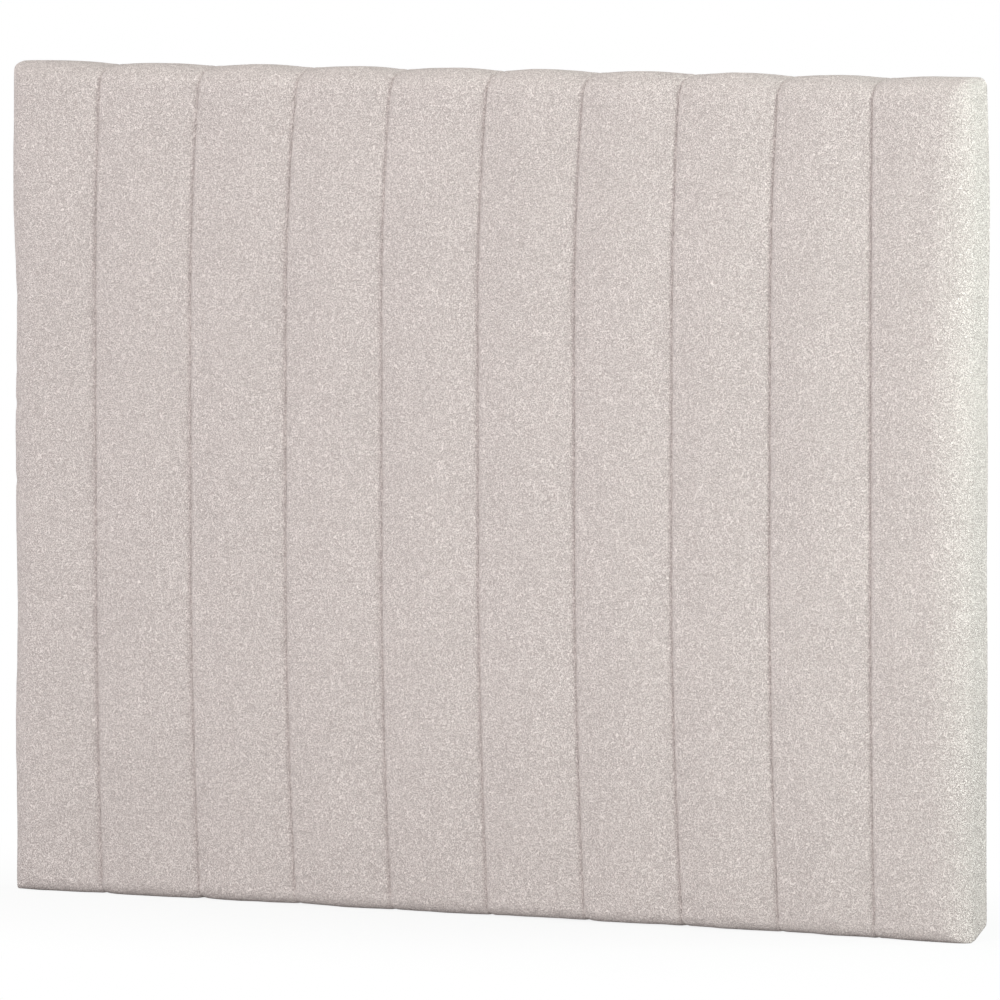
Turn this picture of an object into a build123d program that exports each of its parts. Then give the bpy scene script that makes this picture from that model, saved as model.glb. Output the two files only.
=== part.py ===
from build123d import *
from math import asin, atan2, cos, degrees, radians, remainder, sin, sqrt, tau
import os

# An upholstered headboard with ten upright channels: a timber frame with a panel, foam,
# quilted fillings and a cover that is stapled round the back.
# Millimetres. X runs along the width, Y from front to back and Z upwards.
# The origin is on the floor, in the middle of the width and of the depth.

# The finished headboard
width = 1600.0
height = 1200.0
depth = 80.0

# The channels and their seams, in a level section
channel_count = 10
channel_pitch = 162.0
seam_depth = 14.0
crown_rise = 5.0
edge_roll_radius = 18.0
edge_roll_rise = 11.0
seam_floor_width = 1.0
edge_roll_end_angle = 12.0
seam_flare_angle = 45.0

# The channels over the top edge
top_seam_depth = 4.0
top_crown_rise = 2.5
seam_bend_radius = 20.0
seam_bend_corners = 2

# How the front falls back towards the floor and the top
bottom_fall = 19.0
bottom_fall_height = 500.0
top_fall = 25.0
top_fall_height = 350.0

# Rolled edges of the cover
side_roll_radius = 50.0
top_roll_radius = 34.0
bottom_roll_radius = 20.0
top_corner_radius = 13.0
corner_tuck_width = 17.0
corner_tuck_depth = 39.0
corner_tuck_height = 20.0
roll_margin = 0.6

# Cloths and soft layers
cover_thickness = 3.0
backing_thickness = 1.0
dust_cloth_thickness = 1.0
turn_in_overlap = 40.0
soft_clearance = 0.3
soft_back_margin = 2.0
foam_top_thickness = 12.0
foam_side_thickness = 28.0
least_roll_radius = 2.0
hidden_roll_bevels = 3

# Timber frame and panel
timber_thickness = 32.0
stile_width = 60.0
rail_width = 60.0
fixing_stile_width = 70.0
fixing_stile_spacing = 1100.0
panel_thickness = 4.0
corner_block_leg = 80.0
corner_block_thickness = 18.0

# Frame screws
screw_diameter = 5.0
screw_length = 100.0
screw_head_diameter = 10.0
screw_head_height = 4.0
screw_spacing = 30.0
screw_sides = 8

# Staples
staple_crown = 11.0
staple_wire = 0.8
panel_staple_leg = 16.0
cover_staple_leg = 12.0
panel_staple_pitch = 400.0
cover_staple_pitch = 180.0
dust_staple_pitch = 200.0
panel_staple_margin = 30.0
cover_staple_margin = 20.0
dust_staple_margin = 11.0
dust_cloth_margin = 4.0

# Threaded inserts
insert_bore_diameter = 8.0
insert_diameter = 12.0
insert_length = 20.0
insert_collar_diameter = 16.0
insert_collar_thickness = 1.5
insert_pair_spacing = 150.0
lower_insert_height = 220.0
dust_cloth_hole_diameter = 20.0
insert_sides = 12

# Room for a cutting tool to run past what it cuts
overrun = 30.0

# Angles
quarter_turn = 90.0
half_turn = 180.0

# Places that follow from the sizes
crown_y = -depth / 2
back_y = depth / 2
cover_back_y = back_y - dust_cloth_thickness
frame_back_y = cover_back_y - cover_thickness
frame_front_y = frame_back_y - timber_thickness
panel_front_y = frame_front_y - panel_thickness
seam_y = crown_y + seam_depth
backing_inset = seam_depth + cover_thickness
foam_inset = backing_inset + backing_thickness
core_half_width = width / 2 - foam_inset - foam_side_thickness
core_bottom = cover_thickness
core_top = height - foam_inset - foam_top_thickness
soft_back_y = frame_back_y - soft_back_margin
half_pitch = channel_pitch / 2
seam_places = [(k - channel_count / 2) * channel_pitch for k in range(1, channel_count)]
last_crown_x = seam_places[-1] + half_pitch
end_reach = width / 2 - last_crown_x
section_back_y = back_y + top_fall + overrun
top_fall_start = height - top_fall_height


def arc_radius(half_chord, rise):
    """Radius of the arc that rises so far over half its chord."""
    return (half_chord**2 + rise**2) / (2 * rise)


crown_radius = arc_radius(half_pitch, crown_rise)
top_crown_radius = arc_radius(half_pitch, top_crown_rise)
bottom_axis = (crown_y + arc_radius(bottom_fall_height, bottom_fall), bottom_fall_height)
top_axis = (crown_y + arc_radius(top_fall_height, top_fall), top_fall_start)


def front_y(z, inset):
    """Place of the crown line at a height, so far inside the face of the cover."""
    if z < bottom_fall_height:
        axis = bottom_axis
    elif z > top_fall_start:
        axis = top_axis
    else:
        return crown_y + inset
    return axis[0] - sqrt((axis[0] - crown_y - inset) ** 2 - (z - axis[1]) ** 2)


def arc_about(centre, start, end):
    """Minor arc about a centre, from one point of its circle to another."""
    radius = sqrt((start[0] - centre[0]) ** 2 + (start[1] - centre[1]) ** 2)
    across = ((start[0] + end[0]) / 2 - centre[0], (start[1] + end[1]) / 2 - centre[1])
    reach = radius / sqrt(across[0] ** 2 + across[1] ** 2)
    through = (centre[0] + across[0] * reach, centre[1] + across[1] * reach)
    return ThreePointArc(start, through, end)


def rolled(centre, start, end, inset):
    """The rolled edge between two points: round on the cover's face, in short bevels on the layers below."""
    if inset == 0:
        return arc_about(centre, start, end)
    radius = sqrt((start[0] - centre[0]) ** 2 + (start[1] - centre[1]) ** 2)
    first = atan2(start[1] - centre[1], start[0] - centre[0])
    last = atan2(end[1] - centre[1], end[0] - centre[0])
    step = remainder(last - first, tau) / hidden_roll_bevels
    angles = [first + step * k for k in range(1, hidden_roll_bevels)]
    between = [(centre[0] + radius * cos(a), centre[1] + radius * sin(a)) for a in angles]
    return Polyline(start, *between, end)


def closed_face(*pieces):
    """Flat face inside lines and arcs that join end to end."""
    return make_face([edge for piece in pieces for edge in piece.edges()])


def round_corner(face, corner, radius):
    """The face with its corner nearest a point rounded."""
    nearest = face.vertices().sort_by_distance((corner[0], corner[1], 0))[0]
    return fillet(nearest, radius)


def side_profile(inset, bottom, back):
    """Section along Y and Z: the front falls back at both ends, and its top and bottom edges are rolled.

    Its front and top stand a margin outside the crowns of the channels, and only the rolls trim those.
    """
    outside = inset - roll_margin
    top = height - outside
    foot = (front_y(bottom, outside), bottom)
    head = (front_y(top, outside), top)
    lower = (crown_y + outside, bottom_fall_height)
    upper = (crown_y + outside, top_fall_start)
    face = closed_face(
        arc_about(bottom_axis, foot, lower),
        Line(lower, upper),
        arc_about(top_axis, upper, head),
        Line(head, (back, top)),
        Line((back, top), (back, bottom)),
        Line((back, bottom), foot),
    )
    face = round_corner(face, head, max(top_roll_radius - inset, least_roll_radius))
    return round_corner(face, foot, max(bottom_roll_radius - inset, least_roll_radius))


def channel_section(inset):
    """Section of one channel along X and Y: a crown between two seams."""
    centre = (0, crown_y + crown_radius)
    seam = centre[1] - sqrt((crown_radius - inset) ** 2 - half_pitch**2)
    if inset == 0:
        crown = arc_about(centre, (-half_pitch, seam), (half_pitch, seam))
    else:
        crown = Polyline((-half_pitch, seam), (0, crown_y + inset), (half_pitch, seam))
    return closed_face(
        crown,
        Line((half_pitch, seam), (half_pitch, section_back_y)),
        Line((half_pitch, section_back_y), (-half_pitch, section_back_y)),
        Line((-half_pitch, section_back_y), (-half_pitch, seam)),
    )


def end_channel_section(inset):
    """Section of the right-hand end channel: half a crown, then a large roll into the side."""
    centre = (0, crown_y + crown_radius)
    seam = centre[1] - sqrt((crown_radius - inset) ** 2 - half_pitch**2)
    front = crown_y + inset
    roll = (end_reach - side_roll_radius, crown_y + side_roll_radius)
    side = end_reach - inset
    if inset == 0:
        crown = arc_about(centre, (-half_pitch, seam), (0, front))
    else:
        crown = Line((-half_pitch, seam), (0, front))
    return closed_face(
        crown,
        Line((0, front), (roll[0], front)),
        rolled(roll, (roll[0], front), (side, roll[1]), inset),
        Line((side, roll[1]), (side, section_back_y)),
        Line((side, section_back_y), (-half_pitch, section_back_y)),
        Line((-half_pitch, section_back_y), (-half_pitch, seam)),
    )


def plain_section(inset):
    """Section of the whole width along X and Y: a flat front with both ends rolled."""
    front = crown_y + inset
    roll = (width / 2 - side_roll_radius, crown_y + side_roll_radius)
    side = width / 2 - inset
    return closed_face(
        Line((-roll[0], front), (roll[0], front)),
        rolled(roll, (roll[0], front), (side, roll[1]), inset),
        Line((side, roll[1]), (side, section_back_y)),
        Line((side, section_back_y), (-side, section_back_y)),
        Line((-side, section_back_y), (-side, roll[1])),
        rolled((-roll[0], roll[1]), (-roll[0], front), (-side, roll[1]), inset),
    )


def channel_outline(inset):
    """Front outline of one channel along X and Z: its top edge is a low arch."""
    centre = (0, height - top_crown_radius)
    seam = centre[1] + sqrt((top_crown_radius - inset) ** 2 - half_pitch**2)
    side = half_pitch + overrun
    return closed_face(
        arc_about(centre, (-half_pitch, seam), (half_pitch, seam)),
        Line((half_pitch, seam), (side, seam)),
        Line((side, seam), (side, -overrun)),
        Line((side, -overrun), (-side, -overrun)),
        Line((-side, -overrun), (-side, seam)),
        Line((-side, seam), (-half_pitch, seam)),
    )


def end_channel_outline(inset):
    """Front outline of the right-hand end channel: half an arch, then a rounded corner."""
    centre = (0, height - top_crown_radius)
    seam = centre[1] + sqrt((top_crown_radius - inset) ** 2 - half_pitch**2)
    side = end_reach - inset + roll_margin
    top = height - inset
    face = closed_face(
        arc_about(centre, (-half_pitch, seam), (0, top)),
        Line((0, top), (side, top)),
        Line((side, top), (side, -overrun)),
        Line((side, -overrun), (-half_pitch - overrun, -overrun)),
        Line((-half_pitch - overrun, -overrun), (-half_pitch - overrun, seam)),
        Line((-half_pitch - overrun, seam), (-half_pitch, seam)),
    )
    return round_corner(face, (side, top), max(top_corner_radius - inset, least_roll_radius))


def seam_profile(inset):
    """Section of what is cut away at a seam: a narrow floor between the edges of two channels.

    It lies across X, with the seam's floor at Y zero and the outside towards minus Y. The face of
    the cover has rolled edges, and what lies under it has straight ones.
    """
    radius = edge_roll_radius - inset
    centre_y = edge_roll_radius - edge_roll_rise
    centre_x = seam_floor_width / 2 + sqrt(edge_roll_radius**2 - centre_y**2)
    floor_x = centre_x - sqrt(radius**2 - (centre_y - inset) ** 2)
    end = radians(edge_roll_end_angle)
    lip = (centre_x - radius * sin(end), centre_y - radius * cos(end))
    reach = seam_depth + top_seam_depth
    flare = radians(seam_flare_angle)
    mouth = (lip[0] + reach / sin(flare) * cos(flare), lip[1] - reach)
    left_lip = (-lip[0], lip[1])
    if inset == 0:
        right_edge = arc_about((centre_x, centre_y), (floor_x, inset), lip)
        left_edge = arc_about((-centre_x, centre_y), left_lip, (-floor_x, inset))
    else:
        right_edge = Line((floor_x, inset), lip)
        left_edge = Line(left_lip, (-floor_x, inset))
    return closed_face(
        Line((-floor_x, inset), (floor_x, inset)),
        right_edge,
        Line(lip, mouth),
        Line(mouth, (-mouth[0], mouth[1])),
        Line((-mouth[0], mouth[1]), left_lip),
        left_edge,
    )


def turned_back(shape, axis, angle):
    """The shape turned about a level axis along X, so that what is in front of it rises and falls back."""
    return shape.rotate(Axis((0, axis[0], axis[1]), (-1, 0, 0)), angle)


def swept_back(face, axis, angle):
    """Solid that the face sweeps as it turns about a level axis along X."""
    return revolve(face, Axis((0, axis[0], axis[1]), (-1, 0, 0)), angle)


def swept_forward(face, axis, angle):
    """Solid that the face sweeps as it turns the other way, downwards in front of the axis."""
    return revolve(face, Axis((0, axis[0], axis[1]), (1, 0, 0)), angle)


def fall_angle(axis, rise, inset):
    """Angle at which the front, so far inside the face of the cover, has risen or fallen so far."""
    return degrees(asin(rise / (axis[0] - crown_y - inset)))


def bowed_block(section, inset):
    """The level section carried up the front, upright in the middle and falling back at both ends."""
    low_face = Pos(0, 0, bottom_fall_height) * section
    high_face = Pos(0, 0, top_fall_start) * section
    middle = extrude(low_face, top_fall_start - bottom_fall_height)
    foot = swept_forward(low_face, bottom_axis, fall_angle(bottom_axis, bottom_fall_height + overrun, inset))
    head = swept_back(high_face, top_axis, fall_angle(top_axis, top_fall_height + overrun, inset))
    return middle + foot + head


def seam_tool(inset):
    """What is cut away along one seam: up the front, round the top edge in short straights, and back."""
    section = Pos(0, seam_y, 0) * seam_profile(inset)
    low_face = Pos(0, 0, bottom_fall_height) * section
    high_face = Pos(0, 0, top_fall_start) * section
    middle = extrude(low_face, top_fall_start - bottom_fall_height)
    foot = swept_forward(low_face, bottom_axis, fall_angle(bottom_axis, bottom_fall_height + overrun, inset))
    bend_z = height - top_seam_depth - seam_bend_radius
    bend_reach = top_axis[0] - seam_y - seam_bend_radius
    bend_angle = degrees(asin((bend_z - top_axis[1]) / bend_reach))
    bend_y = top_axis[0] - bend_reach * cos(radians(bend_angle))
    head = swept_back(high_face, top_axis, bend_angle)
    bend_face = turned_back(high_face, top_axis, bend_angle)
    step = (quarter_turn - bend_angle) / seam_bend_corners
    corner_reach = seam_bend_radius / cos(radians(step / 2))
    turns = [bend_angle + step * (k + 0.5) for k in range(seam_bend_corners)]
    start_turn = radians(bend_angle)
    start = (bend_y - seam_bend_radius * cos(start_turn), bend_z + seam_bend_radius * sin(start_turn))
    corners = [
        (bend_y - corner_reach * cos(radians(turn)), bend_z + corner_reach * sin(radians(turn)))
        for turn in turns
    ]
    end = (back_y + overrun, height - top_seam_depth)
    path = Polyline(*[(0, y, z) for y, z in [start, *corners, end]])
    over_top = sweep(bend_face, path=path, transition=Transition.RIGHT)
    return middle + foot + head + over_top


def envelope(inset, bottom, back):
    """The side section across the whole width."""
    side_face = Plane.YZ * side_profile(inset, bottom, back)
    return extrude(side_face, width / 2, both=True)


def corner_tuck(inset):
    """What is cut away where the cover is folded under at the lower back corner on the right."""
    corner = Vector(width / 2, cover_back_y, 0)
    on_bottom = corner - Vector(corner_tuck_width, 0, 0)
    on_side = corner - Vector(0, corner_tuck_depth, 0)
    on_back = corner + Vector(0, 0, corner_tuck_height)
    fold = Plane(on_bottom, x_dir=on_side - on_bottom, z_dir=(on_side - on_bottom).cross(on_back - on_bottom))
    outward = fold.z_dir if fold.z_dir.dot(corner - on_bottom) > 0 else -fold.z_dir
    fold = Plane(on_bottom - outward * inset, x_dir=on_side - on_bottom, z_dir=outward)
    span = corner_tuck_width + corner_tuck_depth + corner_tuck_height
    return extrude(fold * Circle(span), span)


def channel_form(inset, bottom, back):
    """One channel, centred on its crown, so far inside the face of the cover."""
    form = bowed_block(channel_section(inset), inset) & envelope(inset, bottom, back)
    form = form & extrude(Plane.XZ * channel_outline(inset), depth, both=True)
    tool = seam_tool(inset)
    return form - [Pos(x, 0, 0) * tool for x in (-half_pitch, half_pitch)]


def end_channel_form(inset, bottom, back):
    """The right-hand end channel, centred on its crown, so far inside the face of the cover."""
    form = bowed_block(end_channel_section(inset), inset) & envelope(inset, bottom, back)
    form = form & extrude(Plane.XZ * end_channel_outline(inset), depth, both=True)
    form = form - Pos(-half_pitch, 0, 0) * seam_tool(inset)
    return form - Pos(-last_crown_x, 0, 0) * corner_tuck(inset)


def plain_form(inset, back):
    """The whole form without channels, so far inside the face of the cover, down to the foot of the frame."""
    return bowed_block(plain_section(inset), inset) & envelope(inset, core_bottom, back)


def in_every_channel(middle_piece, end_piece):
    """A middle piece in each middle channel, an end piece at the right and its mirror image at the left."""
    right = Pos(last_crown_x, 0, 0) * end_piece
    middle = [Pos(x + half_pitch, 0, 0) * middle_piece for x in seam_places[:-1]]
    return [mirror(right, Plane.YZ), *middle, right]


def block(low, high):
    """Block between two opposite corners."""
    size = [b - a for a, b in zip(low, high)]
    middle = [(a + b) / 2 for a, b in zip(low, high)]
    return Pos(*middle) * Box(*size)


def staple_outline(leg):
    """Outline of a wire staple along X and Y, its crown along X and its legs towards plus Y."""
    half = staple_crown / 2
    return Polyline(
        (-half, 0),
        (half, 0),
        (half, leg),
        (half - staple_wire, leg),
        (half - staple_wire, staple_wire),
        (staple_wire - half, staple_wire),
        (staple_wire - half, leg),
        (-half, leg),
        (-half, 0),
    )


def slot_outline(leg):
    """Outline of the slot that a staple goes into."""
    half = staple_crown / 2
    return Polyline((-half, 0), (half, 0), (half, leg), (-half, leg), (-half, 0))


def ring_places(half_span, low, high, pitch):
    """Even places round a rectangle, none at a corner. Each is X, Z and whether its side is upright."""
    level_count = max(1, round(2 * half_span / pitch))
    upright_count = max(1, round((high - low) / pitch))
    level = [half_span * (2 * (k + 0.5) / level_count - 1) for k in range(level_count)]
    upright = [low + (high - low) * (k + 0.5) / upright_count for k in range(upright_count)]
    places = [(x, z, False) for z in (low, high) for x in level]
    return places + [(x, z, True) for x in (-half_span, half_span) for z in upright]


def stapled(outline, margin, pitch, face_y, inward):
    """The outline as thick as the wire, flush with a face, all along a line that runs round the core.

    The line is so far inside the edges of the core, and inward is plus or minus 1 along Y.
    """
    body = extrude(make_face(outline.edges()), staple_wire / 2, both=True)
    if inward < 0:
        body = body.rotate(Axis.Z, half_turn)
    turned = body.rotate(Axis.Y, quarter_turn)
    places = ring_places(core_half_width - margin, core_bottom + margin, core_top - margin, pitch)
    return [Pos(x, face_y, z) * (turned if upright else body) for x, z, upright in places]


def screw():
    """Countersunk screw with its head at the origin and its point along plus X, its sides flat."""
    head = Plane.YZ * RegularPolygon(screw_head_diameter / 2, screw_sides)
    neck = Plane.YZ.offset(screw_head_height) * RegularPolygon(screw_diameter / 2, screw_sides)
    point = Plane.YZ.offset(screw_length) * RegularPolygon(screw_diameter / 2, screw_sides)
    return loft([head, neck]) + loft([neck, point])


def frame_screws():
    """Two screws in each end of each rail and of each fixing stile."""
    middle_y = frame_front_y + timber_thickness / 2
    one = screw()
    placed = []
    for offset in (-screw_spacing / 2, screw_spacing / 2):
        for rail_z in (core_bottom + rail_width / 2, core_top - rail_width / 2):
            placed.append(Pos(-core_half_width, middle_y, rail_z + offset) * one)
            placed.append(Pos(core_half_width, middle_y, rail_z + offset) * (Rot(0, 0, half_turn) * one))
        for stile_x in (-fixing_stile_spacing / 2, fixing_stile_spacing / 2):
            placed.append(Pos(stile_x + offset, middle_y, core_bottom) * (Rot(0, -quarter_turn, 0) * one))
            placed.append(Pos(stile_x + offset, middle_y, core_top) * (Rot(0, quarter_turn, 0) * one))
    return placed


def round_bar(diameter, length):
    """Round bar from Y zero towards the front."""
    return extrude(Plane.XZ * Circle(diameter / 2), length)


def many_sided_bar(diameter, length):
    """Bar with many flat sides, from Y zero towards the front."""
    return extrude(Plane.XZ * RegularPolygon(diameter / 2, insert_sides), length)


def insert_body():
    """Threaded insert without its bore, its collar's face at Y zero."""
    body = many_sided_bar(insert_diameter, insert_length)
    return body + many_sided_bar(insert_collar_diameter, insert_collar_thickness)


def at_inserts(shape, y):
    """The shape at each of the four inserts."""
    heights = (lower_insert_height, lower_insert_height + insert_pair_spacing)
    stiles = (-fixing_stile_spacing / 2, fixing_stile_spacing / 2)
    return [Pos(x, y, z) * shape for x in stiles for z in heights]


def corner_blocks():
    """Triangular blocks in the inner corners of the frame, against the back of the panel."""
    leg = corner_block_leg
    triangle = make_face(Polyline((0, 0), (leg, 0), (0, leg), (0, 0)).edges())
    one = extrude(Plane.XZ * triangle, -corner_block_thickness)
    inner_x = core_half_width - stile_width
    lower_left = Pos(-inner_x, frame_front_y, core_bottom + rail_width) * one
    lower = [lower_left, mirror(lower_left, Plane.YZ)]
    middle = Plane.XY.offset((core_bottom + core_top) / 2)
    return lower + [mirror(piece, middle) for piece in lower]


def timber(low_x, high_x, low_z, high_z):
    """Frame member between two places along X and Z."""
    return block((low_x, frame_front_y, low_z), (high_x, frame_back_y, high_z))


def frame_members():
    """The two stiles, the two rails and the two fixing stiles, before they are drilled."""
    inner_x = core_half_width - stile_width
    inner_low = core_bottom + rail_width
    inner_high = core_top - rail_width
    fixing_low = fixing_stile_spacing / 2 - fixing_stile_width / 2
    fixing_high = fixing_stile_spacing / 2 + fixing_stile_width / 2
    return {
        "left_stile": timber(-core_half_width, -inner_x, core_bottom, core_top),
        "right_stile": timber(inner_x, core_half_width, core_bottom, core_top),
        "top_rail": timber(-inner_x, inner_x, inner_high, core_top),
        "bottom_rail": timber(-inner_x, inner_x, core_bottom, inner_low),
        "left_fixing_stile": timber(-fixing_high, -fixing_low, inner_low, inner_high),
        "right_fixing_stile": timber(fixing_low, fixing_high, inner_low, inner_high),
    }


def near(solids, shape):
    """The solids whose boxes meet the box of the shape."""
    box = shape.bounding_box()
    found = []
    for solid in solids:
        other = solid.bounding_box()
        apart = any(
            low > other_high or other_low > high
            for low, high, other_low, other_high in zip(box.min, box.max, other.min, other.max)
        )
        if not apart:
            found.append(solid)
    return found


def fitted_round(shape, solids):
    """The shape with a hole or slot for each of the solids that reaches into it."""
    inside = near(solids, shape)
    return shape - inside if inside else shape


# Fasteners, which the timber, the panel and the cloths are cut to fit
screws = frame_screws()
panel_row = (panel_staple_margin, panel_staple_pitch, panel_front_y, 1)
cover_row = (cover_staple_margin, cover_staple_pitch, cover_back_y, -1)
dust_row = (dust_staple_margin, dust_staple_pitch, back_y, -1)
panel_staples = stapled(staple_outline(panel_staple_leg), *panel_row)
cover_staples = stapled(staple_outline(cover_staple_leg), *cover_row)
dust_staples = stapled(staple_outline(cover_staple_leg), *dust_row)
panel_slots = stapled(slot_outline(panel_staple_leg), *panel_row)
cover_slots = stapled(slot_outline(cover_staple_leg), *cover_row)
dust_slots = stapled(slot_outline(cover_staple_leg), *dust_row)
insert_cavities = at_inserts(insert_body(), frame_back_y)
insert_bore = round_bar(insert_bore_diameter, insert_length)
inserts = at_inserts(insert_body() - insert_bore, frame_back_y)

nodes = {}

# Timber frame
for name, member in frame_members().items():
    nodes[name] = fitted_round(member, screws + panel_slots + cover_slots + dust_slots + insert_cavities)
nodes["corner_blocks"] = corner_blocks()
nodes["frame_screws"] = screws
nodes["insert_nuts"] = inserts

# Panel
panel = block(
    (-core_half_width, panel_front_y, core_bottom),
    (core_half_width, frame_front_y, core_top),
)
nodes["front_panel"] = fitted_round(panel, panel_slots)
nodes["panel_staples"] = panel_staples

# Foam and quilt backing
core = block(
    (-core_half_width, panel_front_y, core_bottom - overrun),
    (core_half_width, back_y + overrun, core_top),
)
nodes["foam_slab"] = plain_form(foam_inset, soft_back_y) - core
nodes["quilt_backing"] = plain_form(backing_inset, soft_back_y) - plain_form(foam_inset, back_y)

# Channel fillings
filling_inset = cover_thickness + soft_clearance
filling_back_y = frame_back_y - soft_clearance
behind_filling = plain_form(backing_inset, back_y)
behind_end_filling = Pos(-last_crown_x, 0, 0) * behind_filling
middle_filling = channel_form(filling_inset, filling_inset, filling_back_y) - behind_filling
end_filling = end_channel_form(filling_inset, filling_inset, filling_back_y) - behind_end_filling
for number, filling in enumerate(in_every_channel(middle_filling, end_filling), start=1):
    nodes[f"channel_filling_{number:02d}"] = filling

# Cover, sewn along the seams and turned in round the back
middle_cover = channel_form(0, 0, cover_back_y) - channel_form(cover_thickness, core_bottom, frame_back_y)
end_inside = end_channel_form(cover_thickness, core_bottom, frame_back_y)
end_cover = end_channel_form(0, 0, cover_back_y) - end_inside
cover_pieces = in_every_channel(middle_cover, end_cover)
cover = cover_pieces[0] + cover_pieces[1:]
opening_half_width = core_half_width - turn_in_overlap
back_opening = block(
    (-opening_half_width, frame_front_y, core_bottom + turn_in_overlap),
    (opening_half_width, back_y, core_top - turn_in_overlap),
)
nodes["boucle_cover"] = fitted_round(cover - back_opening, cover_slots + dust_slots)
nodes["cover_staples"] = cover_staples

# Dust cover
dust_half_width = core_half_width - dust_cloth_margin
dust_cloth = block(
    (-dust_half_width, cover_back_y, core_bottom + dust_cloth_margin),
    (dust_half_width, back_y, core_top - dust_cloth_margin),
)
dust_cloth = dust_cloth - at_inserts(round_bar(dust_cloth_hole_diameter, depth), back_y)
nodes["dust_cover"] = fitted_round(dust_cloth, dust_slots)
nodes["dust_cover_staples"] = dust_staples

os.makedirs("parts", exist_ok=True)
for name, shape in nodes.items():
    pieces = shape if isinstance(shape, list) else [shape]
    solids = [solid for piece in pieces for solid in piece.solids()]
    export_step(solids[0] if len(solids) == 1 else Compound(children=solids), f"parts/{name}.step")
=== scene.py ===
import math

import bpy
import numpy as np
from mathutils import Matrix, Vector


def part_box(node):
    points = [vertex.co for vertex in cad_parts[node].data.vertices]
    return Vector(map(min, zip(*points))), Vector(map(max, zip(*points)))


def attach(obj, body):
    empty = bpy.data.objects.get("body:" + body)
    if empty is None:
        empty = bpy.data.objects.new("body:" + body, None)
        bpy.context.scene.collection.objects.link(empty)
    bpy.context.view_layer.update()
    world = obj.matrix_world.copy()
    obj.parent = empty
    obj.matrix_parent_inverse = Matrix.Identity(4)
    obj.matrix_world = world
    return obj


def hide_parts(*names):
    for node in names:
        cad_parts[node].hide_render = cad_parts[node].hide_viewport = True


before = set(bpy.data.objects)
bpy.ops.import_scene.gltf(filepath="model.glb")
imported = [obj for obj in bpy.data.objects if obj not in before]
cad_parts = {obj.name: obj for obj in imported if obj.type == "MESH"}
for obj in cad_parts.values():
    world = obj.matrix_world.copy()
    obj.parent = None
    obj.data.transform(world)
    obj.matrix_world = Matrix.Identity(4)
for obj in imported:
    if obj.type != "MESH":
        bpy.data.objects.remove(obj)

# An upholstered headboard with ten upright channels, dressed over its CAD frame.
# Metres. X runs along the width, Y from front to back and Z upwards, as in the frame.

bl_info = {
    "name": "Channelled headboard",
    "version": (1, 0, 0),
    "blender": (4, 5, 0),
    "location": "View3D > Sidebar > Headboard",
    "description": "Dresses a headboard with a boucle cover, fillings, foam and a dust cover",
    "category": "Object",
}

MM = 0.001
quarter_turn = math.pi / 2
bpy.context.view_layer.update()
cover_low, cover_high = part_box("boucle_cover")
panel_low, panel_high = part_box("front_panel")
dust_low, dust_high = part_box("dust_cover")

# Sizes that the CAD frame gives
half_width = cover_high.x
height = cover_high.z
crown_y = cover_low.y
cover_back = cover_high.y
board_back = dust_high.y
core_half = panel_high.x
core_bottom = panel_low.z
core_top = panel_high.z
panel_front = panel_low.y

# Channels, and the form of their edges and seams
channel_count = 10
channel_pitch = 162 * MM
half_pitch = channel_pitch / 2
seams = (np.arange(1, channel_count) - channel_count / 2) * channel_pitch
last_crown = seams[-1] + half_pitch
edge_roll = 18 * MM
edge_lip = 13 * MM
crown_rise = 6.5 * MM
crease_depth = 1.6 * MM
crease_width = 2.2 * MM
top_crown_share = 1.25
top_roll_share = 0.2
foot_share = 0.12
top_ease = 1.5
foot_ease = 0.7

# Rolls at the edges and how the front falls back
side_roll = 50 * MM
top_roll = 34 * MM
bottom_roll = 20 * MM
top_corner = 13 * MM
bottom_corner = 2 * MM
least_roll = 2 * MM
back_edge_roll = 3 * MM
inner_edge_roll = 0.5 * MM
roll_joining = 3.5
bottom_fall = 19 * MM
bottom_fall_height = 500 * MM
top_fall = 25 * MM
top_fall_height = 350 * MM
end_fall_share = 0.55
end_start = 480 * MM
end_spread = 290 * MM
side_roll_tightening = 0.8
tuck_reach = (17 * MM, 39 * MM, 20 * MM)
left_fullness = 4.5 * MM
right_fullness = 0.5 * MM
side_bulge = 3.5 * MM
side_bulge_height = 1020 * MM
side_bulge_spread = 130 * MM

# Layers
cloth = 3 * MM
backing_cloth = 1 * MM
filling_inset = 3.3 * MM
backing_inset = 17 * MM
foam_inset = 18 * MM
soft_back = 34 * MM
filling_back = 35.7 * MM
back_softness = 1.5 * MM
back_gap = 0.1 * MM
turn_in = 40 * MM

# How far each seam lies to the right of its even place, and how much more so at the top and at the foot
seam_shifts = np.array([1.5, 4.5, 5.5, 6, 7, 6.5, 5.5, 4, 6]) * MM
top_leans = np.array([-2.5, -1, 4.5, 2, 2, 0, -3, -1, -8]) * MM
foot_leans = np.array([1, 1, 4, 4.5, 4.5, 4.5, 6, 5, 0]) * MM
top_lean_start = 900 * MM
foot_lean_start = 500 * MM
top_lean_ease = 1.5
foot_lean_ease = 1.3
drift = 0.7 * MM
drift_length = 240 * MM
drift_skew = 9

# Waves of the cover: swells, ripples, drag lines across the channels and puckers beside the seams
swell_length = 260 * MM
ripple_length = 60 * MM
ripple_share = 0.25
drag_length = 46 * MM
drag_draw = 0.35
drag_threshold = 0.7
drag_depth = 1.3 * MM
drag_height = 620 * MM
drag_spread = 260 * MM
pucker_length = 17 * MM
pucker_draw = 0.2
pucker_reach = 9 * MM

# The cloth that is turned in behind: how deep it lies at its edge, its folded corners and its ripples
turn_sink = 0.5 * MM
corner_start = 640 * MM
corner_reach = 160 * MM
fold_depth = 0.5 * MM
fold_width = 9 * MM
turn_ripple = 0.12 * MM
turn_ripple_length = 40 * MM

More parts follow.
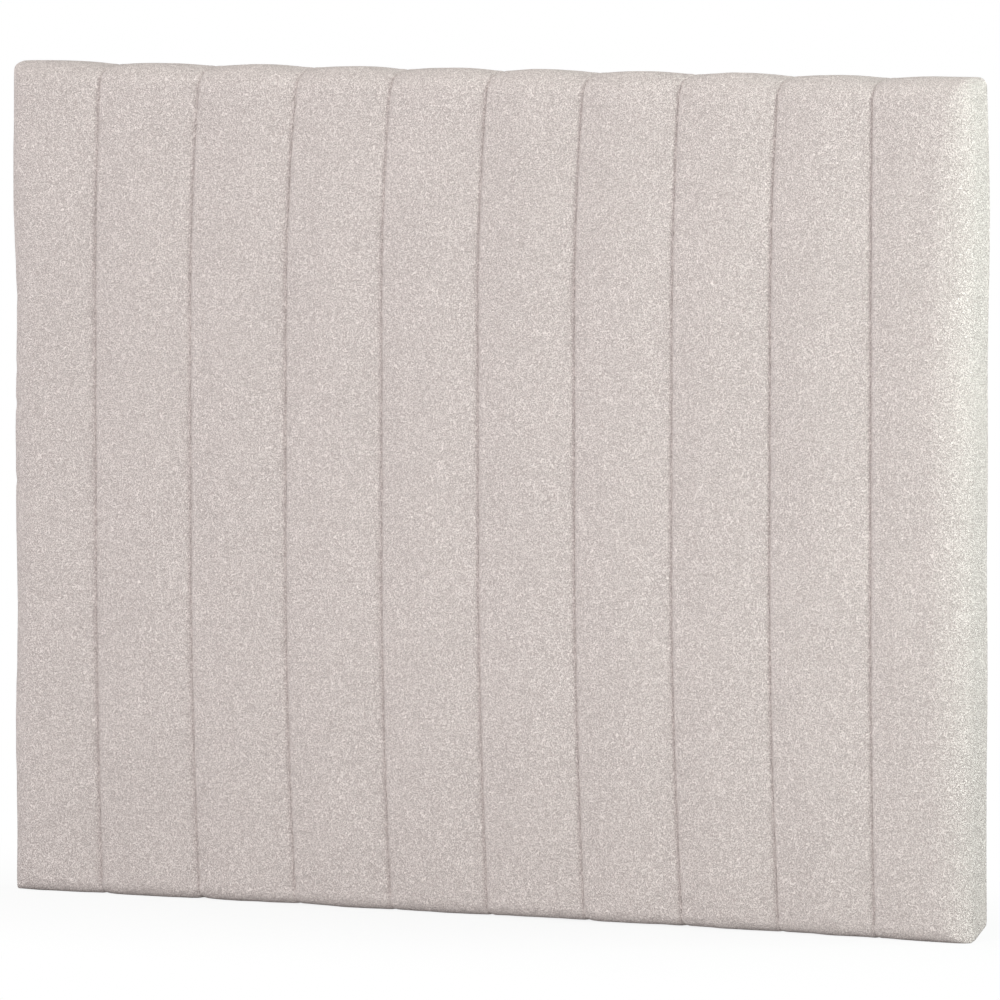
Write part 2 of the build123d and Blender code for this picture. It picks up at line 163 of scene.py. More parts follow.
# The dust cover and the holes in it for the inserts
dust_cloth = 0.7 * MM
dust_gap = 0.05 * MM
dust_step = 14 * MM
dust_border = 20 * MM
dust_slack_reach = 60 * MM
dust_sag = 1.6 * MM
dust_ripple = 0.45 * MM
dust_ripple_length = 210 * MM
dust_pull = 0.3 * MM
dust_pull_length = 70 * MM
dust_pull_draw = 0.4
insert_x = 550 * MM
insert_heights = (220 * MM, 370 * MM)
insert_hole = 10 * MM
hole_grid_reach = 24 * MM
hole_margin = 0.1 * MM

# Meshes: how stations gather at the seams, and how many stations a roll, a ring or a layer has
gathering = 1.8
station_digits = 7
end_stations = 4
least_side_stations = 6
least_rows = 8
foot_stations = 9
top_stations = 13
edge_stations = 5
rim_runs = 5
turn_rings = 6
hole_stations = 16
layer_columns = 7
layer_row = 40 * MM
tiny = 1e-9
tiny_area = 1e-12

# Relief of the finishes
boucle_relief = 1.6 * MM
loop_warp = 3 * MM
wadding_relief = 0.8 * MM
foam_relief = 0.5 * MM
woven_relief = 0.3 * MM
dust_relief = 0.25 * MM
timber_relief = 0.2 * MM
hardboard_relief = 0.1 * MM
metal_relief = 0.05 * MM
every_way = (1.0, 1.0, 1.0)

# Lamps: name, place, target, width and height, watts and tint
white = (1.0, 1.0, 1.0)
lamps = (
    ("front_lamp", (0.3, -4.0, 1.5), (0.2, 0, 0.8), (1.5, 1.5), 101, white),
    ("right_back_lamp", (2.7, 1.5, 1.4), (0.8, 0, 0.7), (0.8, 1.2), 28, (0.88, 1.0, 0.95)),
    ("right_front_lamp", (2.2, -0.3, 1.3), (0.8, 0, 0.7), (0.5, 1.2), 20, (0.86, 1.0, 0.93)),
    ("left_lamp", (-2.2, -0.4, 1.2), (-0.8, 0, 0.7), (0.5, 1.2), 7, white),
    ("top_lamp", (0, 0.1, 2.6), (0, 0, 1.2), (2.4, 0.5), 12, (0.97, 1.0, 0.93)),
)
world_light = 0.54

# The floor, and how its shade fades to white away from the board
floor_half = 60
floor_gap = 0.2 * MM
floor_grey = (0.65, 0.65, 0.65, 1.0)
fade_start = 0.1
fade_end = 0.9
shade_share = 0.86
shade_draw = (0.5, 1.0, 0.0)

# The camera, fitted to the photo
camera_target = (24.2 * MM, 0, 590.5 * MM)
camera_yaw = math.radians(32.51)
camera_elevation = math.radians(3.45)
camera_distance = 18.988
camera_lens = 482.8
sensor_width = 36
camera_reach = 200


def colour(red, green, blue):
    """Linear colour from the three parts, 0 to 255, that a screen shows."""
    parts = np.array([red, green, blue]) / 255
    linear = np.where(parts <= 0.04045, parts / 12.92, ((parts + 0.055) / 1.055) ** 2.4)
    return (*linear.tolist(), 1.0)


# Settings


class HeadboardSizes(bpy.types.PropertyGroup):
    seam_depth: bpy.props.FloatProperty(
        name="Seam depth",
        description="How far the seams lie behind the edges of the channels",
        default=4.4 * MM,
        unit="LENGTH",
    )
    wrinkle_height: bpy.props.FloatProperty(
        name="Wrinkle height",
        description="Height of the broad waves in the cover",
        default=0.9 * MM,
        unit="LENGTH",
    )
    pucker_height: bpy.props.FloatProperty(
        name="Pucker height",
        description="Height of the small puckers beside the seams",
        default=0.6 * MM,
        unit="LENGTH",
    )
    loop_size: bpy.props.FloatProperty(
        name="Loop size", description="Width of the loops of the boucle", default=1.7 * MM, unit="LENGTH"
    )
    columns_per_channel: bpy.props.IntProperty(
        name="Columns", description="Columns of the cover's mesh in half a channel", default=20, min=6
    )
    row_height: bpy.props.FloatProperty(
        name="Row height", description="Height of the rows of the cover's mesh", default=8 * MM, unit="LENGTH"
    )


class HeadboardColours(bpy.types.PropertyGroup):
    boucle: bpy.props.FloatVectorProperty(
        name="Boucle",
        description="Colour of the loops",
        size=4,
        subtype="COLOR",
        default=colour(239, 228, 224),
    )
    # Painted shade: the darker colour laid in the hollows between the loops, where the loops shade each
    # other.
    boucle_hollow_shade: bpy.props.FloatVectorProperty(
        name="Boucle hollow shade",
        description="Colour between the loops",
        size=4,
        subtype="COLOR",
        default=colour(186, 173, 170),
    )
    wadding: bpy.props.FloatVectorProperty(
        name="Wadding",
        description="Colour of the channel fillings",
        size=4,
        subtype="COLOR",
        default=colour(240, 239, 236),
    )
    backing: bpy.props.FloatVectorProperty(
        name="Quilt backing",
        description="Colour of the cloth behind the fillings",
        size=4,
        subtype="COLOR",
        default=colour(226, 223, 216),
    )
    foam: bpy.props.FloatVectorProperty(
        name="Foam",
        description="Colour of the foam",
        size=4,
        subtype="COLOR",
        default=colour(236, 226, 190),
    )
    dust_cover: bpy.props.FloatVectorProperty(
        name="Dust cover",
        description="Colour of the cloth over the back",
        size=4,
        subtype="COLOR",
        default=colour(46, 46, 48),
    )
    timber: bpy.props.FloatVectorProperty(
        name="Timber",
        description="Colour of the frame",
        size=4,
        subtype="COLOR",
        default=colour(214, 180, 132),
    )
    hardboard: bpy.props.FloatVectorProperty(
        name="Hardboard",
        description="Colour of the panel",
        size=4,
        subtype="COLOR",
        default=colour(133, 96, 62),
    )
    steel: bpy.props.FloatVectorProperty(
        name="Steel",
        description="Colour of the staples and inserts",
        size=4,
        subtype="COLOR",
        default=colour(198, 198, 196),
    )
    screws: bpy.props.FloatVectorProperty(
        name="Screws",
        description="Colour of the screws",
        size=4,
        subtype="COLOR",
        default=colour(214, 200, 160),
    )


# Surfaces


def soft_noise(x, z, size, seed):
    """Smooth waves of about a size: the sum of plane waves in random directions, brought to about plus or
    minus one."""
    random = np.random.default_rng(seed)
    count = 12
    angles = random.uniform(0, math.pi, count)
    phases = random.uniform(0, 2 * math.pi, count)
    stretches = random.uniform(0.7, 1.5, count)
    total = np.zeros(np.broadcast(x, z).shape)
    for angle, phase, stretch in zip(angles, phases, stretches):
        wave = 2 * math.pi / (size * stretch)
        total = total + np.sin(wave * (np.cos(angle) * x + np.sin(angle) * z) + phase)
    return total / math.sqrt(count)


def across_stations(columns):
    """Places across the front, close together at the seams, then the turn of the roll at each side."""
    gathered = half_pitch * (np.arange(columns + 1) / columns) ** gathering
    middle = (seams[:, None] + np.concatenate([-gathered[::-1], gathered])[None, :]).ravel()
    end = half_width - side_roll
    flat = np.linspace(last_crown, end, end_stations)[1:]
    middle = np.unique(np.round(np.concatenate([-flat, middle, flat]), station_digits))
    turns = np.linspace(0, quarter_turn, max(columns - end_stations, least_side_stations))[1:]
    x = np.concatenate([np.full(len(turns), -end), middle, np.full(len(turns), end)])
    turn = np.concatenate([-turns[::-1], np.zeros(len(middle)), turns])
    return x, turn


def upward_stations(row):
    """Shares of the height between the rolls, then the turn of the roll at the foot and at the top."""
    share = np.linspace(0, 1, max(round(height / row), least_rows) + 1)
    foot = np.linspace(0, quarter_turn, foot_stations)[1:]
    top = np.linspace(0, quarter_turn, top_stations)[1:]
    shares = np.concatenate([np.zeros(len(foot)), share, np.ones(len(top))])
    turn = np.concatenate([-foot[::-1], np.zeros(len(share)), top])
    return shares, turn


def fall_at(z):
    """How far the front has fallen back at a height: arcs towards the foot and towards the top."""
    low = np.clip(bottom_fall_height - z, 0, None)
    high = np.clip(z - (height - top_fall_height), 0, None)
    return bottom_fall * (low / bottom_fall_height) ** 2 + top_fall * (high / top_fall_height) ** 2


def smooth_step(value):
    """Smooth rise from 0 to 1: three times the square less twice the cube."""
    share = np.clip(value, 0, 1)
    return share**2 * (3 - 2 * share)


def soft_limit(value, limit, softness):
    """The lesser of a value and a limit, rounded where they meet: less the softness times the logarithm of
    the sum of their exponentials."""
    return -softness * np.logaddexp(-value / softness, -limit / softness)


def rounded_corner(along, up, edge_along, edge_up, radius):
    """A square corner of the outline drawn into a quarter circle: each of its two places, 0 to 1 across the
    square, is shortened by the square root of one less half the square of the other."""
    s = np.clip((np.abs(along) - (edge_along - radius)) / radius, 0, 1)
    t = np.clip((up - (edge_up - radius)) / radius, 0, 1)
    new_along = np.sign(along) * (edge_along - radius + radius * s * np.sqrt(1 - t**2 / 2))
    new_up = edge_up - radius + radius * t * np.sqrt(1 - s**2 / 2)
    return np.where(s > 0, new_along, along), np.where(t > 0, new_up, up)


def seam_drop(x, depth):
    """The drop at a place across the front, in three parts: the flat arc of the crown, the rolled edge, a
    quarter round, and the narrow crease, which dies away with the distance. Then that distance."""
    s = np.min(np.abs(x[:, None] - seams[None, :]), axis=1)
    outside = np.abs(x) > last_crown
    crown = crown_rise * ((half_pitch - np.maximum(s, edge_lip)) / half_pitch) ** 2
    roll = edge_roll - np.sqrt(edge_roll**2 - np.clip(edge_lip - s, 0, None) ** 2)
    deepest = edge_roll - math.sqrt(edge_roll**2 - edge_lip**2)
    crease = crease_depth * np.exp(-s / crease_width)
    return np.where(outside, 0, crown), np.where(outside, 0, roll * depth / deepest), crease, s


def rolled_front(across, upward, inset, bottom):
    """The front of a layer and its rolled edges, without seams.

    Each point stands at a place across and a height. Its depth is the crown line, the fall of the front
    and the drops of the side roll and of the top or bottom roll, joined as a power sum.
    """
    x0, side_turn = across
    share, up_turn = upward
    top = max(top_roll - inset, least_roll)
    foot = max(bottom_roll - inset, least_roll)
    up = np.where(up_turn > 0, top, foot)
    z = bottom + foot + share * (height - top_roll - bottom - foot) + up * np.sin(up_turn)
    side = np.maximum(side_roll - inset - side_roll_tightening * fall_at(z), least_roll)[:, None]
    beyond = np.clip(np.abs(x0) - last_crown, 0, None) / (half_width - side_roll - last_crown)
    flat = np.minimum(np.abs(x0), last_crown) + beyond * (half_width - inset - side - last_crown)
    xs = np.sign(x0) * flat + side * np.sin(side_turn)
    zs = np.broadcast_to(z[:, None], xs.shape)
    drop_x = side * (1 - np.cos(side_turn))[None, :]
    drop_z = (up * (1 - np.cos(up_turn)))[:, None]
    drop = (drop_x**roll_joining + drop_z**roll_joining) ** (1 / roll_joining)
    fall = fall_at(zs) * (1 + (end_fall_share - 1) * smooth_step((np.abs(xs) - end_start) / end_spread))
    ys = soft_limit(crown_y + inset + fall + drop, soft_back - inset / 4, back_softness)
    top_radius = max(top_corner - inset, least_roll)
    low_radius = max(bottom_corner - inset, least_roll)
    xs, zs = rounded_corner(xs, zs, half_width - inset, height - inset, top_radius)
    xs, flipped = rounded_corner(xs, -zs, half_width - inset, -bottom, low_radius)
    return np.stack([xs, ys, -flipped], axis=-1)


def surface_normals(grid):
    """Normals of a grid of points: the cross product of the steps along its rows and up its columns."""
    normal = np.cross(np.gradient(grid, axis=1), np.gradient(grid, axis=0))
    return normal / np.maximum(np.linalg.norm(normal, axis=-1, keepdims=True), tiny_area)


def seam_lean(xs, zs, x0):
    """How far a point is moved to the right with its nearest seams: the shift of each seam and its leans at
    the top and the foot fade to the next seam, and a slow drift is added."""
    high = np.clip((zs - top_lean_start) / (height - top_lean_start), 0, 1) ** top_lean_ease
    low = np.clip((foot_lean_start - zs) / foot_lean_start, 0, 1) ** foot_lean_ease
    near = np.clip(1 - np.abs(x0[:, None] - seams[None, :]) / channel_pitch, 0, 1)
    fade = np.clip(1 - np.abs(xs) / half_width, 0, 1) ** 0.3
    drifting = drift * np.sin(zs / drift_length + xs * drift_skew) * fade
    shift = (near @ seam_shifts)[None, :]
    return shift + high * (near @ top_leans)[None, :] + low * (near @ foot_leans)[None, :] + drifting


def front_form(across, upward, inset, bottom, seam_depth=0.0, seam_limit=1.0, waves=None):
    """The front of a layer with its seams, and how far each point was pushed in.

    The seams and waves move the rolled front along its normals. Then the points go to the right with their
    seams, and the sides get their fullness and their bulge below the top corners.
    """
    base = rolled_front(across, upward, inset, bottom)
    if not seam_depth:
        return base, np.zeros(base.shape[:2])

    x0, side_turn = across
    up_turn = upward[1]
    xs, zs = base[..., 0], base[..., 2]
    crown, roll, crease, s = seam_drop(x0, seam_depth)
    over = np.clip(up_turn / quarter_turn, 0, 1) ** top_ease
    under = np.clip(-up_turn / quarter_turn, 0, 1) ** foot_ease
    crown_share = 1 + (top_crown_share - 1) * over + (foot_share - 1) * under
    roll_share = 1 + (top_roll_share - 1) * over + (foot_share - 1) * under
    pushed = crown[None, :] * crown_share[:, None] + roll[None, :] * roll_share[:, None] + crease[None, :]
    pushed = np.minimum(pushed, seam_limit)
    if waves is not None:
        pushed = pushed - waves(xs, zs, s[None, :], np.abs(x0)[None, :])
    full = np.where(side_turn < 0, left_fullness, right_fullness)[None, :]
    full = full + side_bulge * np.exp(-(((zs - side_bulge_height) / side_bulge_spread) ** 2))
    formed = base - surface_normals(base) * pushed[..., None]
    formed[..., 0] += seam_lean(xs, zs, x0)
    formed[..., 0] += full * np.sin(side_turn)[None, :]
    return formed, pushed


def loop_of(grid):
    """The border of a grid, anticlockwise from its first corner: foot, right side, top, left side."""
    return np.concatenate([grid[0, :-1], grid[:-1, -1], grid[-1, :0:-1], grid[:0:-1, 0]])


def outline_normals(border, inset, bottom):
    """Which way the outline faces, level with the board: straight out at the sides, round at the corners."""
    radius = max(top_corner - inset, least_roll)
    out_x = np.clip(np.abs(border[:, 0]) - (half_width - inset - radius), 0, radius) * np.sign(border[:, 0])
    out_z = np.clip(border[:, 2] - (height - inset - radius), 0, radius)
    out_z = out_z - np.clip(bottom + radius - border[:, 2], 0, radius)
    normals = np.stack([out_x, np.zeros(len(border)), out_z], axis=-1)
    return normals / np.maximum(np.linalg.norm(normals, axis=1, keepdims=True), tiny)


def tucked(points, inset):
    """The points with those beyond the folded corner at the foot of the back moved on to the fold.

    On the fold, the shares of its three reaches that are left to the corner add up to one. A layer's fold
    lies its inset further in.
    """
    away = np.stack([half_width - np.abs(points[:, 0]), cover_back - points[:, 1], points[:, 2]], axis=-1)
    slope = 1 / np.array(tuck_reach)
    steepness = np.linalg.norm(slope)
    short = np.clip(1 + inset * steepness - away @ slope, 0, None)
    move = slope[None, :] / steepness**2 * short[:, None]
    ones = np.ones(len(points))
    return points + move * np.stack([-np.sign(points[:, 0]), -ones, ones], axis=-1)


def rim_rings(border, normals, pushed, back, edge, turn_depth):
    """Rings that carry the border back to a depth, round the back edge and in towards an opening.

    On the way back, half the push of the seams fades. The back edge is a quarter round. The turned-in cloth
    narrows to the opening in even steps, each at its own depth.
    """
    rings = []
    for k in range(1, rim_runs + 1):
        t = k / rim_runs
        ring = border.copy()
        ring[:, 1] = border[:, 1] + t * (back - edge - border[:, 1])
        ring += normals * (pushed * t / 2)[:, None]
        rings.append(ring)
    edge_ring = rings[-1]
    for angle in np.linspace(0, quarter_turn, edge_stations)[1:]:
        ring = edge_ring - normals * edge * (1 - math.cos(angle))
        ring[:, 1] = back - edge + edge * math.sin(angle)
        rings.append(ring)
    if turn_depth is None:
        return rings

    start = rings[-1]
    low, high = core_bottom + turn_in, core_top - turn_in
    centre = np.array([0, 0, (low + high) / 2])
    scale = np.array([(core_half - turn_in) / half_width, 1, (high - low) / height])
    end = (start - [0, 0, height / 2]) * scale + centre
    for k in range(1, turn_rings + 1):
        t = k / turn_rings
        ring = start + (end - start) * t
        ring[:, 1] = back - turn_depth(ring, t)
        rings.append(ring)
    return rings


def grid_quads(rows, columns):
    """Faces of a grid, each with its four corners anticlockwise from outside."""
    index = np.arange(rows * columns).reshape(rows, columns)
    quads = np.stack([index[:-1, :-1], index[:-1, 1:], index[1:, 1:], index[1:, :-1]], axis=-1)
    return quads.reshape(-1, 4)


def rim_quads(rows, columns, rings):
    """Faces of the rings round a grid's border."""
    border = loop_of(np.arange(rows * columns).reshape(rows, columns))
    ring = rows * columns + np.arange(rings * len(border)).reshape(rings, len(border))
    ring = np.concatenate([border[None, :], ring])
    after = np.roll(ring, -1, axis=1)
    quads = np.stack([ring[:-1], ring[1:], after[1:], after[:-1]], axis=-1)
    return quads.reshape(-1, 4)


def layer(across, upward, inset, bottom, back, edge=inner_edge_roll, turn_depth=None, **seaming):
    """All points of a layer, its front and then its rings to the back, with its grid and count of rings."""
    front, pushed = front_form(across, upward, inset, bottom, **seaming)
    border = loop_of(front)
    normals = outline_normals(border, inset, bottom)
    rings = rim_rings(border, normals, loop_of(pushed), back, edge, turn_depth)
    return np.concatenate([front.reshape(-1, 3), *rings]), front.shape[:2], len(rings)


def closed_shell(outer, inner, quads):
    """Points and faces of a wall between two skins with the same faces, closed along every open edge."""
    edges = np.concatenate([quads[:, [0, 1]], quads[:, [1, 2]], quads[:, [2, 3]], quads[:, [3, 0]]])
    keys = np.sort(edges, axis=1)
    _, first, counts = np.unique(keys, axis=0, return_index=True, return_counts=True)
    start, end = edges[first[counts == 1]].T
    shift = len(outer)
    strips = np.stack([end, start, start + shift, end + shift], axis=-1)
    faces = np.concatenate([quads, quads[:, ::-1] + shift, strips])
    used, faces = np.unique(faces, return_inverse=True)
    return np.concatenate([outer, inner])[used], faces.reshape(-1, 4)


def piece(name, points, faces, material, replaced):
    """A smooth mesh that rides on the frame, stands for a CAD node and takes its finish from a slot."""
    mesh = bpy.data.meshes.new(name)
    mesh.vertices.add(len(points))
    mesh.vertices.foreach_set("co", points.astype(np.float32).ravel())
    mesh.loops.add(faces.size)
    mesh.loops.foreach_set("vertex_index", faces.astype(np.int32).ravel())
    mesh.polygons.add(len(faces))
    mesh.polygons.foreach_set("loop_start", np.arange(0, faces.size, 4, dtype=np.int32))
    mesh.polygons.foreach_set("use_smooth", np.ones(len(faces), bool))
    mesh.update(calc_edges=True)
    mesh.validate()
    mesh.materials.append(material)
    made = bpy.data.objects.new(name, mesh)
    bpy.context.scene.collection.objects.link(made)
    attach(made, "root")
    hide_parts(replaced)
    return made


# Shader nodes


def give(tree, socket, value):
    """Links a socket's value, or sets a plain one."""
    if isinstance(value, bpy.types.NodeSocket):
        tree.links.new(value, socket)
    else:
        socket.default_value = value


def add_node(tree, kind, inputs=None, **settings):
    """A node with its settings, and its inputs set or linked."""
    node = tree.nodes.new(kind)
    for name, value in settings.items():
        setattr(node, name, value)
    for name, value in (inputs or {}).items():
        give(tree, node.inputs[name], value)
    return node


def maths(tree, operation, *values):
    """Result of a sum on up to three values."""
    return add_node(tree, "ShaderNodeMath", dict(enumerate(values)), operation=operation).outputs[0]


def vectors(tree, operation, *values, output=0, **inputs):
    """Result of a sum on vectors."""
    given = {**dict(enumerate(values)), **inputs}
    return add_node(tree, "ShaderNodeVectorMath", given, operation=operation).outputs[output]


def new_group(name, inputs, outputs):
    """A node group with named inputs and outputs, with the sockets that its nodes read and fill."""
    tree = bpy.data.node_groups.new(name, "ShaderNodeTree")
    for label, kind, default in inputs:
        socket = tree.interface.new_socket(name=label, in_out="INPUT", socket_type=kind)
        if default is not None:
            socket.default_value = default
    for label, kind in outputs:
        tree.interface.new_socket(name=label, in_out="OUTPUT", socket_type=kind)
    given = tree.nodes.new("NodeGroupInput").outputs
    wanted = tree.nodes.new("NodeGroupOutput").inputs
    return tree, given, wanted


def noise_at(tree, vector, scale, detail=2.0, distortion=0.0):
    """Value of a noise at a place."""
    inputs = {"Vector": vector, "Scale": scale, "Detail": detail, "Distortion": distortion}
    return add_node(tree, "ShaderNodeTexNoise", inputs).outputs[0]


def value_range(tree, value, inputs, kind="LINEAR"):
    """A value brought from one range to another."""
    node = add_node(tree, "ShaderNodeMapRange", {"Value": value, **inputs}, interpolation_type=kind)
    return node.outputs[0]


def smooth_range(tree, value, low, high):
    """0 below a low value and 1 above a high one, with a smooth rise between."""
    return value_range(tree, value, {"From Min": low, "From Max": high}, kind="SMOOTHSTEP")


def loops_group():
    """Loops of yarn: ridges along the middle level of a warped noise, with finer ridges among them."""
    tree, given, wanted = new_group(
        "Yarn loops",
        [
            ("Vector", "NodeSocketVector", None),
            ("Scale", "NodeSocketFloat", 230.0),
            ("Warp", "NodeSocketFloat", loop_warp),
        ],
        [("Height", "NodeSocketFloat"), ("Tone", "NodeSocketFloat")],
    )
    stretched = vectors(tree, "MULTIPLY", given["Vector"], (1.0, 1.0, 0.9))
    wander = add_node(tree, "ShaderNodeTexNoise", {"Vector": stretched, "Scale": 90.0, "Detail": 1.0})
    centred = vectors(tree, "SUBTRACT", wander.outputs[1], (0.5, 0.5, 0.5))
    moved = vectors(tree, "SCALE", centred, Scale=given["Warp"])
    place = vectors(tree, "ADD", stretched, moved)
    level = noise_at(tree, place, given["Scale"], detail=0.0, distortion=0.3)
    away = maths(tree, "ABSOLUTE", maths(tree, "SUBTRACT", level, 0.5))
    ridges = maths(tree, "SUBTRACT", 1.0, smooth_range(tree, away, 0.0, 0.2))
    finer = noise_at(tree, place, maths(tree, "MULTIPLY", given["Scale"], 1.3), detail=0.0)
    fine = smooth_range(tree, finer, 0.3, 0.7)
    loops = maths(tree, "MULTIPLY_ADD", ridges, 0.5, maths(tree, "MULTIPLY", fine, 0.5))
    tree.links.new(loops, wanted["Height"])
    # The tone is the height itself: the boucle paints low places darker, as painted shade in the hollows
    # between the loops.
    tree.links.new(loops, wanted["Tone"])
    return tree


def fibre_group():
    """Matted fibres: a fine noise drawn out along one way, over a coarser mottling."""
    tree, given, wanted = new_group(
        "Matted fibres",
        [
            ("Vector", "NodeSocketVector", None),
            ("Scale", "NodeSocketFloat", 900.0),
            ("Mottle", "NodeSocketFloat", 60.0),
            ("Drawn", "NodeSocketVector", (1.0, 1.0, 0.3)),
        ],
        [("Height", "NodeSocketFloat"), ("Tone", "NodeSocketFloat")],
    )
    drawn = vectors(tree, "MULTIPLY", given["Vector"], given["Drawn"])
    fine = noise_at(tree, drawn, given["Scale"], detail=3.0, distortion=0.6)
    coarse = noise_at(tree, given["Vector"], given["Mottle"], detail=3.0)
    tone = maths(tree, "ADD", maths(tree, "MULTIPLY", fine, 0.5), maths(tree, "MULTIPLY", coarse, 0.5))
    tree.links.new(fine, wanted["Height"])
    tree.links.new(tone, wanted["Tone"])
    return tree


def grain_group():
    """Grain of sawn wood: rings bent by a noise that is drawn out along the grain, with fine pores."""
    tree, given, wanted = new_group(
        "Sawn grain",
        [
            ("Vector", "NodeSocketVector", None),
            ("Along", "NodeSocketVector", (1.0, 1.0, 0.06)),
            ("Rings", "NodeSocketFloat", 130.0),
        ],
        [("Grain", "NodeSocketFloat"), ("Height", "NodeSocketFloat")],
    )
    drawn = vectors(tree, "MULTIPLY", given["Vector"], given["Along"])
    bent = {"Vector": drawn, "Scale": given["Rings"], "Distortion": 7.0, "Detail": 2.0, "Detail Scale": 0.6}
    wave = add_node(tree, "ShaderNodeTexWave", bent).outputs[1]
    pores = noise_at(tree, drawn, 1500.0, detail=2.0)
    grain = maths(tree, "ADD", maths(tree, "MULTIPLY", wave, 0.7), maths(tree, "MULTIPLY", pores, 0.3))
    tree.links.new(grain, wanted["Grain"])
    tree.links.new(pores, wanted["Height"])
    return tree


def new_material(name, roughness, metallic=0.0, **uniform):
    """A material with its shader, and the Object coordinates that its pattern reads."""
    material = bpy.data.materials.new(name)
    material.use_nodes = True
    tree = material.node_tree
    shader = tree.nodes["Principled BSDF"]
    shader.inputs["Roughness"].default_value = roughness
    shader.inputs["Metallic"].default_value = metallic
    for label, value in uniform.items():
        shader.inputs[label.replace("_", " ")].default_value = value
    place = tree.nodes.new("ShaderNodeTexCoord").outputs["Object"]
    return material, tree, shader, place


def blend_colours(tree, share, first, second):
    """Colour between two by a share."""
    inputs = {"Factor": share, 6: first, 7: second}
    return add_node(tree, "ShaderNodeMix", inputs, data_type="RGBA").outputs[2]


def paint(tree, shader, share, tint, darkest):
    """Base colour from the tint's darkest share up to the tint itself."""
    dark = (*[part * darkest for part in tint[:3]], 1.0)
    tree.links.new(blend_colours(tree, share, dark, tuple(tint)), shader.inputs["Base Color"])


def add_bump(tree, shader, value, strength, distance):
    """Bump of a height on the shader."""
    node = add_node(tree, "ShaderNodeBump", {"Height": value, "Strength": strength, "Distance": distance})
    tree.links.new(node.outputs[0], shader.inputs["Normal"])


def placed_group(tree, name, maker, **inputs):
    """A node group placed in a material with its own values. It is built the first time it is asked for."""
    group = bpy.data.node_groups.get(name) or maker()
    node = add_node(tree, "ShaderNodeGroup", node_tree=group)
    for label, value in inputs.items():
        give(tree, node.inputs[label], value)
    return node.outputs


def boucle_material(sizes, colours):
    """Boucle: pale loops with painted shade, a darker colour, in the hollows between them, raised by their
    own height, with patches a little lighter.
    """
    material, tree, shader, place = new_material(
        "Boucle", 0.95, Sheen_Weight=0.12, Sheen_Roughness=0.6, Specular_IOR_Level=0.15
    )
    loops = placed_group(tree, "Yarn loops", loops_group, Vector=place, Scale=1 / sizes.loop_size)
    # Painted shade: where the loops' height is low, in the hollows, the colour goes to the darker hollow
    # shade. The tops keep the loops' colour.
    share = smooth_range(tree, loops["Tone"], 0.18, 0.78)
    base = blend_colours(tree, share, tuple(colours.boucle_hollow_shade), tuple(colours.boucle))
    patches = smooth_range(tree, noise_at(tree, place, 7.0, detail=3.0), 0.3, 0.7)
    value = value_range(tree, patches, {"To Min": 0.985, "To Max": 1.01})
    varied = add_node(tree, "ShaderNodeHueSaturation", {"Color": base, "Value": value})
    tree.links.new(varied.outputs[0], shader.inputs["Base Color"])
    add_bump(tree, shader, loops["Height"], 1.0, boucle_relief)
    return material


def fibre_material(
    name,
    tint,
    scale=900.0,
    mottle=60.0,
    relief=woven_relief,
    roughness=0.95,
    darkest=0.82,
    drawn=(1.0, 1.0, 0.3),
):
    """Matted or woven cloth, foam or board of one tint."""
    material, tree, shader, place = new_material(name, roughness, Sheen_Weight=0.1)
    fibres = placed_group(
        tree, "Matted fibres", fibre_group, Vector=place, Scale=scale, Mottle=mottle, Drawn=drawn
    )
    paint(tree, shader, smooth_range(tree, fibres["Tone"], 0.35, 0.65), tint, darkest)
    add_bump(tree, shader, fibres["Height"], 0.5, relief)
    return material


def wood_material(name, tint, along, rings=130.0, darkest=0.72):
    """Sawn wood with its grain along one way."""
    material, tree, shader, place = new_material(name, 0.7)
    grain = placed_group(tree, "Sawn grain", grain_group, Vector=place, Along=along, Rings=rings)
    paint(tree, shader, smooth_range(tree, grain["Grain"], 0.25, 0.75), tint, darkest)
    add_bump(tree, shader, grain["Height"], 0.4, timber_relief)
    return material


def metal_material(name, tint, roughness):
    """Drawn or plated steel with fine streaks."""
    material, tree, shader, place = new_material(name, roughness, metallic=1.0)
    fibres = placed_group(
        tree, "Matted fibres", fibre_group, Vector=place, Scale=1400.0, Mottle=200.0, Drawn=(1.0, 0.2, 1.0)
    )
    share = smooth_range(tree, fibres["Tone"], 0.3, 0.7)
    paint(tree, shader, share, tint, 0.8)
    rough = value_range(tree, share, {"To Min": roughness * 0.8, "To Max": roughness * 1.3})
    tree.links.new(rough, shader.inputs["Roughness"])
    add_bump(tree, shader, fibres["Height"], 0.2, metal_relief)
    return material


def finish_nodes(material, *names):
    """Gives CAD nodes a material."""
    for name in names:
        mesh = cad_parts[name].data
        mesh.materials.clear()
        mesh.materials.append(material)


# Pieces


def cover_waves(sizes):
    """Waves of the cover, outwards: broad swells, ripples, drag lines across the channels and puckers beside
    the seams. The swells and drag lines fade towards the seams, the puckers away from them."""

    def waves(x, z, s, reach):
        swells = sizes.wrinkle_height * soft_noise(x, z, swell_length, 3)
        ripples = ripple_share * sizes.wrinkle_height * soft_noise(x, z, ripple_length, 5)
        open_part = np.clip(s / half_pitch, 0, 1) ** 0.5
        lines = np.clip(soft_noise(x * drag_draw, z, drag_length, 8) - drag_threshold, 0, None)
        middle = np.exp(-(((z - drag_height) / drag_spread) ** 2))
        drag = drag_depth * lines * middle * open_part
        beside = np.exp(-s / pucker_reach)
        puckers = sizes.pucker_height * soft_noise(x * pucker_draw, z, pucker_length, 12) * beside
        puckers = np.where(reach > last_crown, 0, puckers)
        return swells * open_part + ripples - drag + puckers

    return waves


